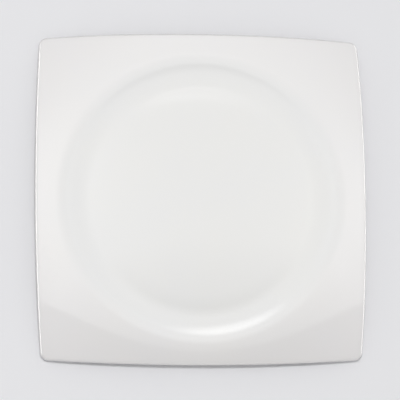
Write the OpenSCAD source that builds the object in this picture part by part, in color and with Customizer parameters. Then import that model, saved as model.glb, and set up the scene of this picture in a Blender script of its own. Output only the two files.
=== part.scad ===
// Square dinner plate: a pressed porcelain body with a round well, bowed sides and
// drooping corners, under a coat of clear white glaze. It rests on a bare foot ring.
// The face, the back and the lip all follow one curve, which runs through the middle
// of the wall from the centre of the well to the edge. Millimetres, +Z up, with the
// origin in the middle of the plane that the foot stands on.

/* [Outline] */
// Width across the middles of two opposite sides
side_w = 265; // [250:1:300]
// Radius of the bow of each side
side_bow_r = 1820; // [600:10:6000]
// Radius of the corners, seen from above
corner_r = 7; // [5:0.5:20]

/* [Well] */
// Radius of the floor, out to its lowest ring
well_floor_r = 89.5; // [80:0.5:94]
// Width of the edge of the floor, which falls a little towards the lowest ring
floor_edge_w = 13; // [8:0.5:20]
// Radius of the curve in which the edge of the floor falls
floor_fall_r = 400; // [200:10:1500]
// Rise from the lowest ring to the crest round the well
well_depth = 3.2; // [3.1:0.1:5]
// Radius of the turn from the floor into the wall
turn_r = 78; // [30:1:82]
// Slope of the wall, in degrees
wall_angle = 13; // [9.5:0.1:13.2]
// Radius of the turn over the shoulder
shoulder_r = 42; // [20:1:46]

/* [Rim] */
// How far the rim falls, in one gentle curve, from the crest to the corners
corner_drop = 5.9; // [3:0.1:8]

/* [Wall and glaze] */
// Thickness of the porcelain
body_t = 4.2; // [3:0.1:5.5]
// Thickness of the glaze
glaze_t = 0.3; // [0.2:0.05:0.5]

/* [Foot ring] */
// Distance of the foot ring inside the edge of the floor
foot_inset = 15.5; // [9:0.5:24]
// Width of the foot ring
foot_w = 5; // [4:0.25:9]
// Height of the foot ring
foot_h = 7.5; // [6:0.1:9]
// Radius of the edges of the bearing face
foot_edge_r = 0.8; // [0.4:0.1:1]
// Slanted strip at the root of the foot ring
foot_root = 1; // [0.6:0.1:1.2]
// Height of the edge of the glaze above the bearing face
glaze_line = 1.5; // [1:0.1:2]

/* [Fineness] */
// Steps across the edge of the floor
fall_steps = 3; // [2:1:5]
// Steps along one side, an even number
side_steps = 14; // [8:2:16]
// Steps round one corner
corner_steps = 5; // [3:1:6]
// Steps through each turn of the well
bend_steps = 3; // [2:1:4]
// Steps across the rim
rim_steps = 4; // [2:1:5]
// Steps round the lip
lip_steps = 6; // [4:2:8]

/* [Hidden] */
$fn = 96;

// Half thickness of the bare body, and of the body with its glaze
bare_half = body_t / 2;
glazed_half = bare_half + glaze_t;

// Outer radius of the foot ring, and of the slanted strip at its root
foot_r = well_floor_r - foot_inset;
root_r = foot_r + foot_root;

// How far an arc falls away from its end, a distance along
function sag(d, r) = r - sqrt(pow(r, 2) - pow(d, 2));

// Middle of the wall: heights and radii where its stretches meet
floor_z = foot_h + bare_half;
flat_r = well_floor_r - floor_edge_w;
fall_end_r = well_floor_r - floor_edge_w * turn_r / (turn_r + floor_fall_r);
fall_end_slope = asin((fall_end_r - flat_r) / floor_fall_r);
low_z = floor_z - sag(fall_end_r - flat_r, floor_fall_r) - sag(well_floor_r - fall_end_r, turn_r);
crest_z = low_z + well_depth;
turn_end_r = well_floor_r + turn_r * sin(wall_angle);
turn_end_z = low_z + turn_r * (1 - cos(wall_angle));
wall_end_z = crest_z - shoulder_r * (1 - cos(wall_angle));
wall_end_r = turn_end_r + (wall_end_z - turn_end_z) / tan(wall_angle);
crest_r = wall_end_r + shoulder_r * sin(wall_angle);

// Centres of the side arcs and of the corner arcs, and the half angle of a side arc
side_arc_x = side_w / 2 - side_bow_r;
corner_c = (side_arc_x + sqrt(2 * pow(side_bow_r - corner_r, 2) - pow(side_arc_x, 2))) / 2;
side_half_angle = atan2(corner_c, corner_c - side_arc_x);

// Radius of the curve of the rim, from its run out to a corner and its fall there
corner_run = corner_c * sqrt(2) + corner_r - glazed_half - crest_r;
rim_bow_r = (pow(corner_run, 2) + pow(corner_drop, 2)) / (2 * corner_drop);

// One side and the corner after it, as [arc centre, arc radius, angle]
quarter = [
    for (i = [0 : side_steps - 1])
        [[side_arc_x, 0], side_bow_r, side_half_angle * (2 * i / side_steps - 1)],
    for (i = [0 : corner_steps - 1])
        [[corner_c, corner_c], corner_r,
            side_half_angle + (90 - 2 * side_half_angle) * i / corner_steps]
];

// Outward directions along the edge, and the line that the lip is rounded about
function heading(angle) = [cos(angle), sin(angle)];
function turned(p, angle) = p[0] * heading(angle) + p[1] * heading(angle + 90);
edge_out = [for (q = [0 : 3]) for (e = quarter) heading(e[2] + 90 * q)];
edge_line = [
    for (q = [0 : 3]) for (e = quarter)
        turned(e[0] + (e[1] - glazed_half) * heading(e[2]), 90 * q)
];
reach = [for (p = edge_line) norm(p)];
rays = [for (p = edge_line) p / norm(p)];
last_ray = len(rays) - 1;

// Height and slope of the middle of the wall at a radius
function mid_z(r) =
    r < flat_r ? floor_z :
    r < fall_end_r ? floor_z - sag(r - flat_r, floor_fall_r) :
    r < turn_end_r ? low_z + sag(r - well_floor_r, turn_r) :
    r < wall_end_r ? turn_end_z + (r - turn_end_r) * tan(wall_angle) :
    r < crest_r ? crest_z - sag(crest_r - r, shoulder_r) :
    crest_z - sag(r - crest_r, rim_bow_r);
function mid_slope(r) =
    r < flat_r ? 0 :
    r < fall_end_r ? -asin((r - flat_r) / floor_fall_r) :
    r < turn_end_r ? asin((r - well_floor_r) / turn_r) :
    r < wall_end_r ? wall_angle :
    r < crest_r ? asin((crest_r - r) / shoulder_r) :
    -asin((r - crest_r) / rim_bow_r);

// Direction square to the wall at a radius, and a point lifted off its middle
function lift_dir(r, ray) = concat(-sin(mid_slope(r)) * ray, cos(mid_slope(r)));
function wall_point(r, ray, lift) = concat(r * ray, mid_z(r)) + lift * lift_dir(r, ray);

// Rings of points: round the well, across the rim, and round the lip
turn_slopes = [
    for (i = [1 : bend_steps]) (fall_end_slope + wall_angle) * i / bend_steps - fall_end_slope
];
well_radii = [
    for (i = [0 : fall_steps]) flat_r + (fall_end_r - flat_r) * i / fall_steps,
    for (slope = turn_slopes) well_floor_r + turn_r * sin(slope),
    for (i = [bend_steps : -1 : 0]) crest_r - shoulder_r * sin(wall_angle * i / bend_steps)
];
back_radii = [for (r = well_radii) if (r > root_r + foot_root) r];
function well_ring(r, lift) = [for (ray = rays) wall_point(r, ray, lift)];
function rim_ring(step, lift) = [
    for (k = [0 : last_ray])
        wall_point(crest_r + (reach[k] - crest_r) * step / rim_steps, rays[k], lift)
];
function lip_ring(turn, half) = [
    for (k = [0 : last_ray])
        let (up = lift_dir(reach[k], rays[k]))
        let (out = concat(edge_out[k], 0))
        let (along = out - (out * up) * up)
        wall_point(reach[k], rays[k], 0) + half * (cos(turn) * up + sin(turn) * along / norm(along))
];
function reversed(list) = [for (i = [len(list) - 1 : -1 : 0]) list[i]];

// All rings of a skin that lies half a thickness from the middle of the wall
function skin_rings(half) = concat(
    [for (r = well_radii) well_ring(r, half)],
    [for (i = [1 : rim_steps]) rim_ring(i, half)],
    [for (i = [1 : lip_steps - 1]) lip_ring(180 * i / lip_steps, half)],
    [for (i = [rim_steps : -1 : 1]) rim_ring(i, -half)],
    [for (r = reversed(back_radii)) well_ring(r, -half)]
);

// Rings down the outer flank of the foot, a distance off it. Their corners lie outside
// the true circle, so that the straight edges between them clear the round flank.
widest_gap = max([for (k = [1 : last_ray]) acos(rays[k] * rays[k - 1])]);
flank_spread = 1 / cos(widest_gap / 2);
function round_ring(r, z) = [for (ray = rays) concat(r * flank_spread * ray, z)];
function flank_rings(off) = [
    round_ring(root_r, foot_h - off),
    round_ring(foot_r + off, foot_h - foot_root),
    round_ring(foot_r + off, glaze_line)
];

// Closed solid through a stack of rings, with a flat polygon over the first and the last.
// From the ring on which the stack turns back, its facets are cut along the other diagonal,
// so that the inside of a coat matches the skin that it lies on.
module ring_solid(rings, turn_back) {
    n = len(rings[0]);
    last = len(rings) - 1;
    bands = [
        for (j = [0 : last - 1], k = [0 : n - 1])
            let (a = j * n + k, d = j * n + (k + 1) % n)
            each j < turn_back ? [[a, d, d + n], [a, d + n, a + n]] : [[a, d, a + n], [d, d + n, a + n]]
    ];
    caps = [[for (k = [n - 1 : -1 : 0]) k], [for (k = [0 : n - 1]) last * n + k]];
    polyhedron([for (ring = rings) each ring], concat(bands, caps));
}

// Section of the foot ring, rooted in the floor
function arc(centre, r, from, to) = [
    for (i = [0 : bend_steps]) centre + r * heading(from + (to - from) * i / bend_steps)
];
module foot_section() {
    inner = foot_r - foot_w;
    top = foot_h + bare_half;
    polygon(concat(
        [[inner - foot_root, top], [inner - foot_root, foot_h], [inner, foot_h - foot_root]],
        arc([inner + foot_edge_r, foot_edge_r], foot_edge_r, 180, 270),
        arc([foot_r - foot_edge_r, foot_edge_r], foot_edge_r, 270, 360),
        [[foot_r, foot_h - foot_root], [root_r, foot_h], [root_r, top]]
    ));
}

// Pressed body with its foot ring
module porcelain_body() {
    rings = concat(skin_rings(bare_half), [round_ring(root_r, foot_h)]);
    color("linen")
    union() {
        ring_solid(rings, len(rings));
        rotate_extrude() foot_section();
    }
}

// Glaze over the face, the lip and the back, down to the glaze line on the foot
module glaze_coat() {
    outside = concat(skin_rings(glazed_half), flank_rings(glaze_t));
    inside = concat(skin_rings(bare_half), flank_rings(0));
    color("whitesmoke")
    ring_solid(concat(outside, reversed(inside)), len(outside));
}

// Pool of glaze inside the foot ring
module recess_glaze() {
    inner = foot_r - foot_w;
    color("whitesmoke")
    rotate_extrude()
        polygon([
            [0, foot_h], [inner - foot_root, foot_h], [inner, foot_h - foot_root], [inner, glaze_line],
            [inner - glaze_t, glaze_line], [inner - glaze_t, foot_h - foot_root],
            [inner - foot_root, foot_h - glaze_t], [0, foot_h - glaze_t]
        ]);
}

porcelain_body();
glaze_coat();
recess_glaze();
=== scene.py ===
"""Square dinner plate: glossy white porcelain, seen almost face on from above."""
from math import asin, atan2, cos, pi, radians, sin, sqrt, tan

import bpy
from mathutils import Matrix, Vector


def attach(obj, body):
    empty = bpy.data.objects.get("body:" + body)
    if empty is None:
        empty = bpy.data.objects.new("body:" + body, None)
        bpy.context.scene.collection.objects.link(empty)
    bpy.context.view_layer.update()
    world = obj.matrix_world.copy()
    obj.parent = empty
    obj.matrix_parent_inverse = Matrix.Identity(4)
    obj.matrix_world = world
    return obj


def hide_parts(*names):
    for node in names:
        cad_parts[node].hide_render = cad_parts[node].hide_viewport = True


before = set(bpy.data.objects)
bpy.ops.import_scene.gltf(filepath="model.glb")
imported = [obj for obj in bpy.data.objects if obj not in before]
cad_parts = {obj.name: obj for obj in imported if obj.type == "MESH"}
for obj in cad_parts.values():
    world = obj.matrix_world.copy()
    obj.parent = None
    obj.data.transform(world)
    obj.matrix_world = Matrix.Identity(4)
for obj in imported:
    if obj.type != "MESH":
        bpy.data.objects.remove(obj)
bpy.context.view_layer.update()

MM = 0.001

# Outline
SIDE_W = 265 * MM
SIDE_BOW_R = 1820 * MM
CORNER_R = 7 * MM

# Well, shoulder and rim, all measured on the middle of the wall
WELL_FLOOR_R = 89.5 * MM
FLOOR_EDGE_W = 13 * MM
FLOOR_FALL_R = 400 * MM
WELL_DEPTH = 3.2 * MM
TURN_R = 78 * MM
WALL_ANGLE = radians(13)
SHOULDER_R = 42 * MM
CORNER_DROP = 5.9 * MM

# Wall, glaze and foot ring
BODY_T = 4.2 * MM
GLAZE_T = 0.3 * MM
FOOT_INSET = 15.5 * MM
FOOT_R = WELL_FLOOR_R - FOOT_INSET
FOOT_H = 7.5 * MM
FOOT_ROOT = 1 * MM
GLAZE_LINE = 1.5 * MM
ROOT_R = FOOT_R + FOOT_ROOT

# Colours of the glaze by its place from the middle out (darker in the turn of the well, lighter over the
# crest, another tone on the rim), and the radius beyond which its tone is even
GLAZE_PLAIN = (0.8, 0.798, 0.786)
GLAZE_TURN_TONE = (0.782, 0.782, 0.777)
GLAZE_CREST_TONE = (0.813, 0.803, 0.797)
GLAZE_RIM = (0.808, 0.794, 0.793)
GLAZE_COOL = (0.99, 0.99, 0.995)
GLAZE_WARM = (1.0, 0.997, 0.988)
TONE_REACH = 150 * MM

# Colours of the bare porcelain
BISQUE_DARK = (0.7, 0.665, 0.6)
BISQUE_PALE = (0.8, 0.77, 0.71)

# Range of a noise that is put to use
NOISE_LOW = 0.3
NOISE_HIGH = 0.7

# Gloss and relief of the glaze: clouds of tint, uneven gloss, slow waves and fine peel
GLAZE_IOR = 1.65
GLAZE_ROUGH = (0.04, 0.08)
CLOUD_SIZE = 60 * MM
GLOSS_SIZE = 9 * MM
WAVE_SIZE = 38 * MM
WAVE_DEPTH = 0.03 * MM
PEEL_SIZE = 2.5 * MM
PEEL_DEPTH = 0.003 * MM

# Finish and relief of the bare porcelain: mottle, rings of grinding and grain
BISQUE_ROUGH = (0.72, 0.88)
MOTTLE_SIZE = 4 * MM
GRINDING_SCALE = 900
GRINDING_DEPTH = 0.01 * MM
GRAIN_SIZE = 0.5 * MM
GRAIN_DEPTH = 0.04 * MM

# Fineness of the drawn mesh
FALL_STEPS = 8
SIDE_STEPS = 56
CORNER_STEPS = 20
BEND_STEPS = 16
RIM_STEPS = 14
LIP_STEPS = 16


def sag(d, r):
    """How far an arc falls away from its end, a distance along."""
    return r - sqrt(r ** 2 - d ** 2)


# Derived places on the middle of the wall
BARE_HALF = BODY_T / 2
GLAZED_HALF = BARE_HALF + GLAZE_T
FLOOR_Z = FOOT_H + BARE_HALF
FLAT_R = WELL_FLOOR_R - FLOOR_EDGE_W
FALL_END_R = WELL_FLOOR_R - FLOOR_EDGE_W * TURN_R / (TURN_R + FLOOR_FALL_R)
FALL_END_SLOPE = asin((FALL_END_R - FLAT_R) / FLOOR_FALL_R)
LOW_Z = FLOOR_Z - sag(FALL_END_R - FLAT_R, FLOOR_FALL_R) - sag(WELL_FLOOR_R - FALL_END_R, TURN_R)
CREST_Z = LOW_Z + WELL_DEPTH
TURN_END_R = WELL_FLOOR_R + TURN_R * sin(WALL_ANGLE)
TURN_END_Z = LOW_Z + TURN_R * (1 - cos(WALL_ANGLE))
WALL_END_Z = CREST_Z - SHOULDER_R * (1 - cos(WALL_ANGLE))
WALL_END_R = TURN_END_R + (WALL_END_Z - TURN_END_Z) / tan(WALL_ANGLE)
CREST_R = WALL_END_R + SHOULDER_R * sin(WALL_ANGLE)
SIDE_ARC_X = SIDE_W / 2 - SIDE_BOW_R
CORNER_C = (SIDE_ARC_X + sqrt(2 * (SIDE_BOW_R - CORNER_R) ** 2 - SIDE_ARC_X ** 2)) / 2
SIDE_HALF_ANGLE = atan2(CORNER_C, CORNER_C - SIDE_ARC_X)
CORNER_RUN = CORNER_C * sqrt(2) + CORNER_R - GLAZED_HALF - CREST_R
RIM_BOW_R = (CORNER_RUN ** 2 + CORNER_DROP ** 2) / (2 * CORNER_DROP)


def heading(angle):
    """Unit vector in the plane of the table."""
    return Vector((cos(angle), sin(angle), 0))


def edge_points():
    """The line that the lip is rounded about, with the outward direction at each point."""
    quarter = []
    for i in range(SIDE_STEPS):
        turn = SIDE_HALF_ANGLE * (2 * i / SIDE_STEPS - 1)
        quarter.append((Vector((SIDE_ARC_X, 0, 0)), SIDE_BOW_R, turn))
    for i in range(CORNER_STEPS):
        turn = SIDE_HALF_ANGLE + (pi / 2 - 2 * SIDE_HALF_ANGLE) * i / CORNER_STEPS
        quarter.append((Vector((CORNER_C, CORNER_C, 0)), CORNER_R, turn))
    edge = []
    for q in range(4):
        spin = Matrix.Rotation(q * pi / 2, 3, "Z")
        for centre, r, turn in quarter:
            out = heading(turn)
            edge.append((spin @ (centre + (r - GLAZED_HALF) * out), spin @ out))
    return edge


EDGE = edge_points()
RAYS = [p.normalized() for p, out in EDGE]
REACH = [p.length for p, out in EDGE]


def mid_z(r):
    """Height of the middle of the wall."""
    if r < FLAT_R:
        return FLOOR_Z
    if r < FALL_END_R:
        return FLOOR_Z - sag(r - FLAT_R, FLOOR_FALL_R)
    if r < TURN_END_R:
        return LOW_Z + sag(r - WELL_FLOOR_R, TURN_R)
    if r < WALL_END_R:
        return TURN_END_Z + (r - TURN_END_R) * tan(WALL_ANGLE)
    if r < CREST_R:
        return CREST_Z - sag(CREST_R - r, SHOULDER_R)
    return CREST_Z - sag(r - CREST_R, RIM_BOW_R)


def mid_slope(r):
    """Slope of the middle of the wall, as an angle."""
    if r < FLAT_R:
        return 0
    if r < FALL_END_R:
        return -asin((r - FLAT_R) / FLOOR_FALL_R)
    if r < TURN_END_R:
        return asin((r - WELL_FLOOR_R) / TURN_R)
    if r < WALL_END_R:
        return WALL_ANGLE
    if r < CREST_R:
        return asin((CREST_R - r) / SHOULDER_R)
    return -asin((r - CREST_R) / RIM_BOW_R)


def lift_dir(r, ray):
    """Direction square to the wall."""
    slope = mid_slope(r)
    return -sin(slope) * ray + Vector((0, 0, cos(slope)))


def wall_point(r, ray, lift):
    """A point lifted off the middle of the wall."""
    return r * ray + Vector((0, 0, mid_z(r))) + lift * lift_dir(r, ray)


def well_ring(r, lift):
    return [wall_point(r, ray, lift) for ray in RAYS]


def rim_ring(step, lift):
    part = step / RIM_STEPS
    return [wall_point(CREST_R + (far - CREST_R) * part, ray, lift) for far, ray in zip(REACH, RAYS)]


def lip_ring(turn, half):
    ring = []
    for (p, out), ray, far in zip(EDGE, RAYS, REACH):
        up = lift_dir(far, ray)
        along = (out - out.dot(up) * up).normalized()
        ring.append(wall_point(far, ray, 0) + half * (cos(turn) * up + sin(turn) * along))
    return ring


def round_ring(r, z):
    return [r * ray + Vector((0, 0, z)) for ray in RAYS]


def well_radii():
    """Radii of the rings from the middle of the floor to the crest."""
    radii = [FLAT_R + (FALL_END_R - FLAT_R) * i / FALL_STEPS for i in range(FALL_STEPS + 1)]
    for i in range(1, BEND_STEPS + 1):
        slope = (FALL_END_SLOPE + WALL_ANGLE) * i / BEND_STEPS - FALL_END_SLOPE
        radii.append(WELL_FLOOR_R + TURN_R * sin(slope))
    for i in range(BEND_STEPS, -1, -1):
        radii.append(CREST_R - SHOULDER_R * sin(WALL_ANGLE * i / BEND_STEPS))
    return radii


def skin_rings(half):
    """Rings from the middle of the face, over the lip, to the back beside the foot."""
    face = [well_ring(r, half) for r in well_radii()]
    rim_steps = range(1, RIM_STEPS + 1)
    face += [rim_ring(i, half) for i in rim_steps]
    lip = [lip_ring(pi * i / LIP_STEPS, half) for i in range(1, LIP_STEPS)]
    back = [rim_ring(i, -half) for i in reversed(rim_steps)]
    back += [well_ring(r, -half) for r in reversed(well_radii()) if r > ROOT_R + FOOT_ROOT]
    return face + lip + back


def flank_rings(off):
    """Rings down the outer flank of the foot, a distance off it."""
    return [
        round_ring(ROOT_R, FOOT_H - off),
        round_ring(FOOT_R + off, FOOT_H - FOOT_ROOT),
        round_ring(FOOT_R + off, GLAZE_LINE),
    ]


def ring_mesh(name, rings):
    """Closed smooth mesh through a stack of rings, with a fan over the first and the last."""
    n = len(rings[0])
    points = [p for ring in rings for p in ring]
    faces = []
    for j in range(len(rings) - 1):
        for k in range(n):
            a, d = j * n + k, j * n + (k + 1) % n
            faces.append((a, a + n, d + n, d))
    first, last = len(points), len(points) + 1
    points.append(sum(rings[0], Vector()) / n)
    points.append(sum(rings[-1], Vector()) / n)
    base = (len(rings) - 1) * n
    for k in range(n):
        faces.append((first, k, (k + 1) % n))
        faces.append((last, base + (k + 1) % n, base + k))
    mesh = bpy.data.meshes.new(name)
    mesh.from_pydata(points, [], faces)
    mesh.shade_smooth()
    piece = bpy.data.objects.new(name, mesh)
    bpy.context.scene.collection.objects.link(piece)
    return piece


def node(tree, kind, inputs=None, **settings):
    """New shader node. An input, by name or number, is a value or the socket that feeds it."""
    new = tree.nodes.new(kind)
    for key, value in settings.items():
        setattr(new, key, value)
    for key, value in (inputs or {}).items():
        if isinstance(value, bpy.types.NodeSocket):
            tree.links.new(value, new.inputs[key])
        else:
            new.inputs[key].default_value = value
    return new


def noise(tree, coords, size, detail):
    """Soft noise whose grains measure about a size, from 0 to 1."""
    made = node(tree, "ShaderNodeTexNoise", {"Vector": coords, "Scale": 1 / size, "Detail": detail})
    return made.outputs["Fac"]


def spread(tree, value, low, high):
    """Noise stretched to a range."""
    limits = {"Value": value, "From Min": NOISE_LOW, "From Max": NOISE_HIGH, "To Min": low, "To Max": high}
    return node(tree, "ShaderNodeMapRange", limits).outputs["Result"]


def ramp(tree, value, stops):
    """Colours at places from 0 to 1, blended in between."""
    made = node(tree, "ShaderNodeValToRGB", {"Fac": value})
    marks = made.color_ramp.elements
    while len(marks) < len(stops):
        marks.new(0.5)
    for mark, (place, colour) in zip(marks, stops):
        mark.position = place
        mark.color = (*colour, 1)
    return made.outputs["Color"]


def bump(tree, height, depth, below=None):
    """Relief of a depth, on top of other relief."""
    inputs = {"Height": height, "Distance": depth, "Strength": 1}
    if below:
        inputs["Normal"] = below
    return node(tree, "ShaderNodeBump", inputs).outputs["Normal"]


def new_material(name):
    mat = bpy.data.materials.new(name)
    mat.use_nodes = True
    tree = mat.node_tree
    coords = node(tree, "ShaderNodeTexCoord").outputs["Object"]
    return mat, tree, tree.nodes["Principled BSDF"], coords


def glaze_material():
    """Clear white glaze: darker in the turn of the well, lighter over the crest, faintly uneven."""
    mat, tree, shader, coords = new_material("white_glaze")
    flat = node(tree, "ShaderNodeVectorMath", {0: coords, 1: (1, 1, 0)}, operation="MULTIPLY")
    radius = node(tree, "ShaderNodeVectorMath", {0: flat.outputs[0]}, operation="LENGTH")
    place = node(tree, "ShaderNodeMath", {0: radius.outputs["Value"], 1: TONE_REACH}, operation="DIVIDE")
    # Tone by radius: darker in the turn of the well, lighter over the crest, another tone on the rim
    tone = ramp(tree, place.outputs[0], [
        (0, GLAZE_PLAIN),
        (WELL_FLOOR_R / TONE_REACH, GLAZE_PLAIN),
        (TURN_END_R / TONE_REACH, GLAZE_TURN_TONE),
        (CREST_R / TONE_REACH, GLAZE_CREST_TONE),
        (1, GLAZE_RIM),
    ])
    clouds = noise(tree, coords, CLOUD_SIZE, 3)
    cast = ramp(tree, clouds, [(NOISE_LOW, GLAZE_COOL), (NOISE_HIGH, GLAZE_WARM)])
    mixed = node(tree, "ShaderNodeMix", data_type="RGBA", blend_type="MULTIPLY")
    mixed.inputs["Factor"].default_value = 1
    tree.links.new(tone, mixed.inputs["A"])
    tree.links.new(cast, mixed.inputs["B"])
    tree.links.new(mixed.outputs["Result"], shader.inputs["Base Color"])
    gloss = spread(tree, noise(tree, coords, GLOSS_SIZE, 4), *GLAZE_ROUGH)
    tree.links.new(gloss, shader.inputs["Roughness"])
    waves = bump(tree, noise(tree, coords, WAVE_SIZE, 1), WAVE_DEPTH)
    peel = bump(tree, noise(tree, coords, PEEL_SIZE, 1), PEEL_DEPTH, waves)
    tree.links.new(peel, shader.inputs["Normal"])
    shader.inputs["IOR"].default_value = GLAZE_IOR
    return mat


def bisque_material():
    """Bare fired porcelain, ground flat in circles where the plate stands."""
    mat, tree, shader, coords = new_material("bare_porcelain")
    mottle = noise(tree, coords, MOTTLE_SIZE, 6)
    tint = ramp(tree, mottle, [(NOISE_LOW, BISQUE_DARK), (NOISE_HIGH, BISQUE_PALE)])
    tree.links.new(tint, shader.inputs["Base Color"])
    tree.links.new(spread(tree, mottle, *BISQUE_ROUGH), shader.inputs["Roughness"])
    rings = node(
        tree, "ShaderNodeTexWave", {"Vector": coords, "Scale": GRINDING_SCALE, "Distortion": 3, "Detail": 3},
        wave_type="RINGS", rings_direction="Z",
    )
    grinding = bump(tree, rings.outputs["Fac"], GRINDING_DEPTH)
    grain = bump(tree, noise(tree, coords, GRAIN_SIZE, 3), GRAIN_DEPTH, grinding)
    tree.links.new(grain, shader.inputs["Normal"])
    return mat


def make_glaze(mat):
    """The coat over the face, the lip and the back, down to the glaze line on the foot."""
    rings = skin_rings(GLAZED_HALF) + flank_rings(GLAZE_T)
    rings += flank_rings(0)[::-1] + skin_rings(BARE_HALF)[::-1]
    piece = ring_mesh("glaze_skin", rings)
    piece.data.materials.append(mat)
    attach(piece, "root")
    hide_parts("glaze_coat")


def dress(name, mat):
    """Gives a carried-over CAD node its material."""
    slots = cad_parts[name].data.materials
    slots.clear()
    slots.append(mat)


glaze = glaze_material()
make_glaze(glaze)
dress("recess_glaze", glaze)
dress("porcelain_body", bisque_material())

# Floor
FLOOR_HALF = 3
FLOOR_COLOUR = (0.915, 0.915, 0.935, 1)
FLOOR_ROUGH = 0.8
mesh = bpy.data.meshes.new("floor")
corners = [(-1, -1), (1, -1), (1, 1), (-1, 1)]
mesh.from_pydata([(x * FLOOR_HALF, y * FLOOR_HALF, 0) for x, y in corners], [], [(0, 1, 2, 3)])
floor = bpy.data.objects.new("floor", mesh)
bpy.context.scene.collection.objects.link(floor)
mat = bpy.data.materials.new("pale_floor")
mat.use_nodes = True
matt = mat.node_tree.nodes["Principled BSDF"].inputs
matt["Base Color"].default_value = FLOOR_COLOUR
matt["Roughness"].default_value = FLOOR_ROUGH
matt["Specular IOR Level"].default_value = 0
mesh.materials.append(mat)

# Camera: tilted a little to the left and to the front of straight down
TILT_LEFT = radians(7.8)
TILT_FRONT = radians(7.7)
ROLL = radians(0.61)
DISTANCE = 2489 * MM
FRAME_PX = 400
PX_PER_M = 1260.9
AIM_PX = (201.6, 198.5)
SENSOR = 36
CLIP_END = 50
aim = Vector((0, 0, CREST_Z))
back = Vector((-tan(TILT_LEFT), -tan(TILT_FRONT), 1)).normalized()
right = Vector((0, 1, 0)).cross(back).normalized()
up = back.cross(right)
turn = Matrix((right, up, back)).transposed() @ Matrix.Rotation(-ROLL, 3, "Z")
off = Vector((FRAME_PX / 2 - AIM_PX[0], AIM_PX[1] - FRAME_PX / 2, 0)) / PX_PER_M
data = bpy.data.cameras.new("camera")
data.sensor_width = SENSOR
data.lens = SENSOR * DISTANCE * PX_PER_M / FRAME_PX
data.clip_end = CLIP_END
camera = bpy.data.objects.new("camera", data)
camera.matrix_world = Matrix.Translation(aim + turn @ off + DISTANCE * back) @ turn.to_4x4()
bpy.context.scene.collection.objects.link(camera)
bpy.context.scene.camera = camera


def lamp(name, place, size, power):
    """Square lamp aimed at the plate, which shows in no reflection."""
    light = bpy.data.lights.new(name, "AREA")
    light.size = size
    light.energy = power
    made = bpy.data.objects.new(name, light)
    made.location = place
    made.rotation_euler = Vector(place).to_track_quat("Z", "Y").to_euler()
    made.visible_glossy = False
    bpy.context.scene.collection.objects.link(made)


# Lamp overhead, for the matt light
LAMP_PLACE = (-0.25, 0.15, 2.5)
LAMP_SIZE = 0.3
LAMP_POWER = 22
lamp("main", LAMP_PLACE, LAMP_SIZE, LAMP_POWER)

# What the gloss mirrors: a light roof close above the plate. Each patch of it has its place, how long
# it is for its width, its width and its brightness.
ROOF_Z = 0.5
ROOF_HALF = 1.2
ROOF = 2.95
PATCHES = [
    (-0.12, 0.08, 1, 0.1, 0.9),
    (0.26, 0.06, 1, 0.09, 0.7),
    (0.055, 0.18, 5, 0.014, 0.8),
    (0.03, 0.26, 1.5, 0.05, 0.3),
]

# The roof is dimmer far from its middle
ROOF_MIDDLE = (0.08, 0.1)
DIM_FROM = 0.12
DIM_TO = 0.5
DIM = 0.78

# An oval shade at the front: its middle, how long it is for its width, and where it begins and ends
SHADE_MIDDLE = (0.08, -0.22)
SHADE_LONG = 1.05
SHADE_IN = 0.05
SHADE_OUT = 0.25

# In front of an edge the roof is dimmer at once, and then less and less bright
EDGE_Y = -0.095
EDGE_SOFT = 0.002
EDGE_DIM = 0.62
FRONT_Y = -0.3
FRONT_DIM = 0.6

# A round light high up at the back, which shines through the roof up to a line on it
BACK_Z = 1.5
BACK_HALF = 3
BACK_MIDDLE = (0.1, 0.78)
BACK_IN = 0.1
BACK_OUT = 0.3
BACK = 2.1
CLEAR_Y = 0.2
CLEAR_SOFT = 0.02

# Bright sheets that stand on the left and the right, and the even light of the room beyond
SHEET_X = 1.2
SHEET_Y = (-0.5, 1.2)
SHEET = 9
ROOM = 0.5


def added(tree, first, second):
    return node(tree, "ShaderNodeMath", {0: first, 1: second}, operation="ADD").outputs[0]


def multiplied(tree, first, second):
    return node(tree, "ShaderNodeMath", {0: first, 1: second}, operation="MULTIPLY").outputs[0]


def fade(tree, value, start, end, low, high, kind="SMOOTHSTEP"):
    """Change from one level to another, which are kept to on either side."""
    inputs = {"Value": value, "From Min": start, "From Max": end, "To Min": low, "To Max": high}
    return node(tree, "ShaderNodeMapRange", inputs, interpolation_type=kind).outputs["Result"]


def gap(tree, place, middle, long=1):
    """Distance in a plane, for a form that is longer along X than it is wide."""
    away = node(tree, "ShaderNodeVectorMath", {0: place, 1: (*middle, 0)}, operation="SUBTRACT")
    flat = node(tree, "ShaderNodeVectorMath", {0: away.outputs[0], 1: (1 / long, 1, 0)}, operation="MULTIPLY")
    return node(tree, "ShaderNodeVectorMath", {0: flat.outputs[0]}, operation="LENGTH").outputs["Value"]


def patches(tree, place, base, spots):
    """An even brightness with soft round spots on it."""
    total = base
    for x, y, long, width, brightness in spots:
        away = multiplied(tree, gap(tree, place, (x, y), long), 1 / width)
        power = multiplied(tree, multiplied(tree, away, away), -1)
        spot = node(tree, "ShaderNodeMath", {0: power}, operation="EXPONENT").outputs[0]
        total = added(tree, multiplied(tree, spot, brightness), total)
    return total


def reflector(name, points, faces, clear=False):
    """Glowing sheet that shows only in reflections. Gives its material's tree and its strength."""
    mat = bpy.data.materials.new(name)
    mat.use_nodes = True
    tree = mat.node_tree
    glow = node(tree, "ShaderNodeEmission")
    surface = glow.outputs[0]
    if clear:
        through = node(tree, "ShaderNodeBsdfTransparent").outputs[0]
        surface = node(tree, "ShaderNodeAddShader", {0: surface, 1: through}).outputs[0]
    tree.links.new(surface, tree.nodes["Material Output"].inputs["Surface"])
    mesh = bpy.data.meshes.new(name)
    mesh.from_pydata(points, [], faces)
    mesh.materials.append(mat)
    sheet = bpy.data.objects.new(name, mesh)
    sheet.visible_camera = False
    sheet.visible_diffuse = False
    sheet.visible_shadow = False
    bpy.context.scene.collection.objects.link(sheet)
    return tree, glow.inputs["Strength"]


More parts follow.
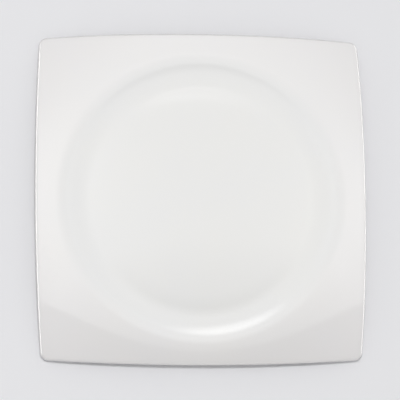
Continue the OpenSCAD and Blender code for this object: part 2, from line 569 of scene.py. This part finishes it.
def light_roof():
    """Light roof over the plate, with its patches and shades."""
    outline = [(x * ROOF_HALF, y * ROOF_HALF, ROOF_Z) for x, y in corners]
    tree, strength = reflector("light_roof", outline, [(0, 3, 2, 1)], clear=True)
    place = node(tree, "ShaderNodeNewGeometry").outputs["Position"]
    north = node(tree, "ShaderNodeSeparateXYZ", {0: place}).outputs["Y"]
    total = patches(tree, place, ROOF, PATCHES)
    shades = [
        fade(tree, gap(tree, place, ROOF_MIDDLE), DIM_FROM, DIM_TO, 1, DIM),
        fade(tree, gap(tree, place, SHADE_MIDDLE, SHADE_LONG), SHADE_IN, SHADE_OUT, 0, 1, "LINEAR"),
        fade(tree, north, EDGE_Y - EDGE_SOFT, EDGE_Y + EDGE_SOFT, EDGE_DIM, 1),
        fade(tree, north, FRONT_Y, EDGE_Y, FRONT_DIM, 1),
    ]
    for shade in shades:
        total = multiplied(tree, total, shade)
    tree.links.new(total, strength)
    clear = fade(tree, north, CLEAR_Y, CLEAR_Y + CLEAR_SOFT, 1, 0)
    tree.links.new(clear, tree.nodes["Transparent BSDF"].inputs["Color"])


def back_light():
    """Light at the back, on a dark ceiling."""
    outline = [(x * BACK_HALF, y * BACK_HALF, BACK_Z) for x, y in corners]
    tree, strength = reflector("back_light", outline, [(0, 3, 2, 1)])
    place = node(tree, "ShaderNodeNewGeometry").outputs["Position"]
    tree.links.new(fade(tree, gap(tree, place, BACK_MIDDLE), BACK_IN, BACK_OUT, BACK, 0), strength)


def light_sheets():
    """Bright sheets on the left and the right."""
    points = [(x, y, z) for x in (-SHEET_X, SHEET_X) for y in SHEET_Y for z in (0, ROOF_Z)]
    strength = reflector("light_sheets", points, [(0, 1, 3, 2), (4, 6, 7, 5)])[1]
    strength.default_value = SHEET


def studio_world():
    """The even light of the room."""
    world = bpy.data.worlds.new("studio")
    world.use_nodes = True
    background = world.node_tree.nodes["Background"]
    background.inputs["Color"].default_value = (1, 1, 1, 1)
    background.inputs["Strength"].default_value = ROOM
    return world


light_roof()
back_light()
light_sheets()
bpy.context.scene.world = studio_world()
bpy.context.scene.view_settings.view_transform = "Standard"
